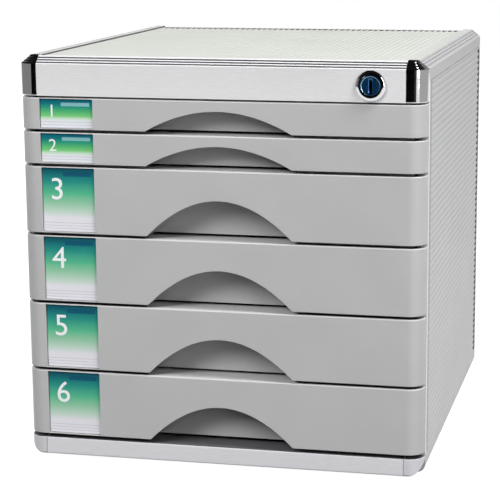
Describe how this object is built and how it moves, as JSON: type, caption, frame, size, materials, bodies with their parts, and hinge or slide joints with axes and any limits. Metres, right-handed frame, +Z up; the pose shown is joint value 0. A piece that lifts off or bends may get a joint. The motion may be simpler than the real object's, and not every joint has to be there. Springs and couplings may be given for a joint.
{
  "type": "desktop file drawer cabinet",
  "caption": "Lockable desktop cabinet in silver and grey, with thin drawers over deep drawers, arched finger pulls, label windows and a ribbed case.",
  "frame": {"origin": "on the floor under the middle of the whole cabinet, lock bezel included", "axes": "+X to the right seen from the front, +Y from the drawer fronts to the back, +Z up"},
  "size_m": [0.3, 0.3326, 0.3019],
  "materials": {
    "ribbed_panel": "satin silver paint, finely ribbed from front to back",
    "case_strip": "satin silver paint",
    "rail": "satin silver paint, brushed across",
    "chrome": "bright plating",
    "end_block": "fine-grained grey",
    "drawer_grey": "fine-grained grey",
    "tray_grey": "moulded grey",
    "inner_plastic": "moulded dark grey",
    "card": "printed card, teal fading through green to white",
    "window": "clear plastic sheet",
    "lock_blue": "metallic blue",
    "steel": "zinc-plated steel",
    "rubber": "matt black"
  },
  "bodies": {
    "case": {"top_panel": "ribbed_panel", "left_side_panel": "ribbed_panel", "right_side_panel": "ribbed_panel", "back_panel": "inner_plastic", "bottom_panel": "inner_plastic", "top_left_corner_strip": "case_strip", "top_right_corner_strip": "case_strip", "bottom_left_corner_strip": "case_strip", "bottom_right_corner_strip": "case_strip", "left_front_post": "case_strip", "right_front_post": "case_strip", "front_top_rail": "rail", "front_bottom_rail": "rail", "top_left_cap": "chrome", "top_right_cap": "chrome", "bottom_left_end_block": "end_block", "bottom_right_end_block": "end_block", "left_runner_frame": "inner_plastic", "right_runner_frame": "inner_plastic", "lock_housing": "chrome", "lock_nut": "steel", "front_left_foot": "rubber", "front_right_foot": "rubber", "rear_left_foot": "rubber", "rear_right_foot": "rubber"},
    "lock": {"lock_plug": "lock_blue", "lock_cam": "steel", "cam_screw": "steel"},
    "lock_bar": {"lock_bar_upper": "steel", "lock_bar_lower": "steel"},
    "drawer_1": {"drawer_1_front": "drawer_grey", "drawer_1_tray": "tray_grey", "drawer_1_card": "card", "drawer_1_window": "window", "drawer_1_catch": "steel"},
    "drawer_2": {"drawer_2_front": "drawer_grey", "drawer_2_tray": "tray_grey", "drawer_2_card": "card", "drawer_2_window": "window", "drawer_2_catch": "steel"},
    "drawer_3": {"drawer_3_front": "drawer_grey", "drawer_3_tray": "tray_grey", "drawer_3_card": "card", "drawer_3_window": "window", "drawer_3_catch": "steel"},
    "drawer_4": {"drawer_4_front": "drawer_grey", "drawer_4_tray": "tray_grey", "drawer_4_card": "card", "drawer_4_window": "window", "drawer_4_catch": "steel"},
    "drawer_5": {"drawer_5_front": "drawer_grey", "drawer_5_tray": "tray_grey", "drawer_5_card": "card", "drawer_5_window": "window", "drawer_5_catch": "steel"},
    "drawer_6": {"drawer_6_front": "drawer_grey", "drawer_6_tray": "tray_grey", "drawer_6_card": "card", "drawer_6_window": "window", "drawer_6_catch": "steel"}
  },
  "joints": [
    {"name": "drawer_1_slide", "type": "slide", "parent": "case", "child": "drawer_1", "axis": [0, -1, 0], "range_m": [0, 0.23]},
    {"name": "drawer_2_slide", "type": "slide", "parent": "case", "child": "drawer_2", "axis": [0, -1, 0], "range_m": [0, 0.23]},
    {"name": "drawer_3_slide", "type": "slide", "parent": "case", "child": "drawer_3", "axis": [0, -1, 0], "range_m": [0, 0.23]},
    {"name": "drawer_4_slide", "type": "slide", "parent": "case", "child": "drawer_4", "axis": [0, -1, 0], "range_m": [0, 0.23]},
    {"name": "drawer_5_slide", "type": "slide", "parent": "case", "child": "drawer_5", "axis": [0, -1, 0], "range_m": [0, 0.23]},
    {"name": "drawer_6_slide", "type": "slide", "parent": "case", "child": "drawer_6", "axis": [0, -1, 0], "range_m": [0, 0.23]},
    {"name": "lock_turn", "type": "hinge", "parent": "case", "child": "lock", "pos_m": [0.1106, -0.1637, 0.28435], "axis": [0, 1, 0], "range_deg": [0, 90]},
    {"name": "lock_bar_slide", "type": "slide", "parent": "case", "child": "lock_bar", "axis": [0, 0, -1], "range_m": [0, 0.00707]}
  ],
  "couplings": [
    {"joint": "lock_turn", "follows": "lock_bar_slide", "rad_per_m": 222.13}
  ]
}
